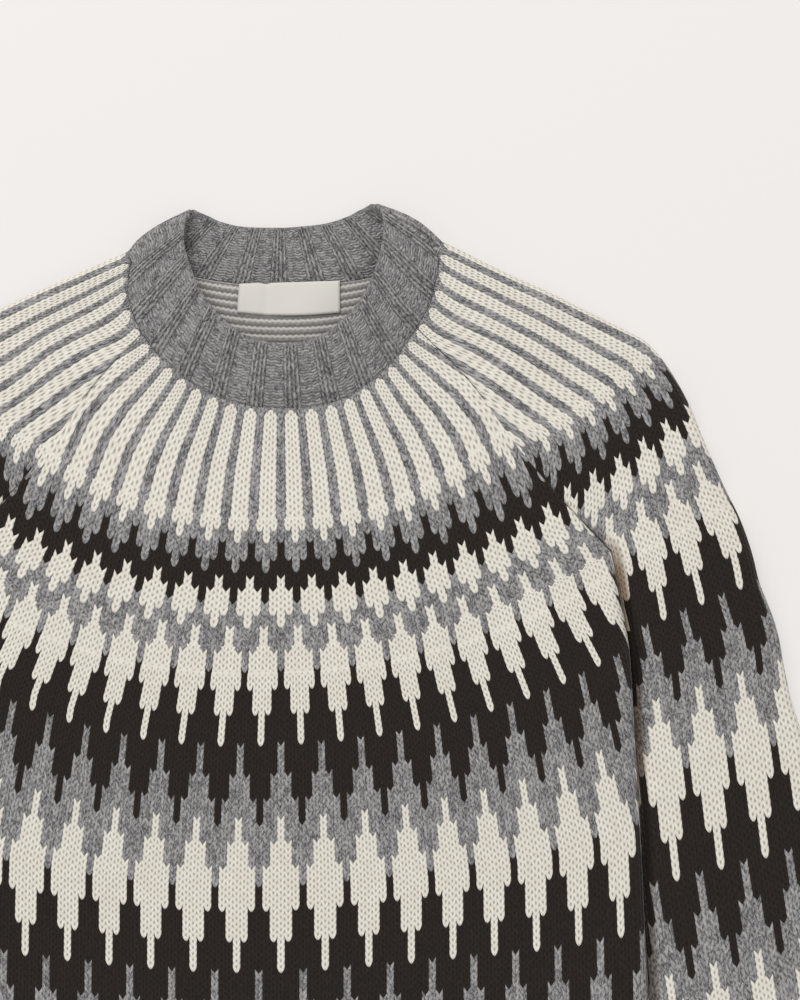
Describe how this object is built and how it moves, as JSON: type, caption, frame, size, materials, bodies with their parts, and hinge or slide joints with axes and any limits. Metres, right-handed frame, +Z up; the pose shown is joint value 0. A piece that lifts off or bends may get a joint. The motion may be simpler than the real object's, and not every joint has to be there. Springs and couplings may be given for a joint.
{
  "type": "knitted jumper",
  "caption": "Raglan jumper in stranded knit laid flat, with a stepped diamond yoke pattern, thick ribbed neckband, ribbed hem and cuffs, and a blank neck label.",
  "frame": {"origin": "under the middle of the garment as it lies, on the table", "axes": "+X across the garment towards the sleeve on the right of the picture, +Y up the garment to the neck, +Z up off the table, out of the front"},
  "size_m": [0.8184, 0.6666, 0.0209],
  "materials": {
    "patterned_knit": "matt stranded wool knit in ecru, grey melange and warm black",
    "rib_knit": "matt grey melange wool rib",
    "label": "smooth woven tape, cream, blank"
  },
  "bodies": {
    "root": {"front_panel": "patterned_knit", "back_panel": "patterned_knit", "sleeve_right": "patterned_knit", "sleeve_left": "patterned_knit", "neckband": "rib_knit", "hem_band": "rib_knit", "cuff_right": "rib_knit", "cuff_left": "rib_knit", "neck_label": "label"}
  },
  "joints": []
}
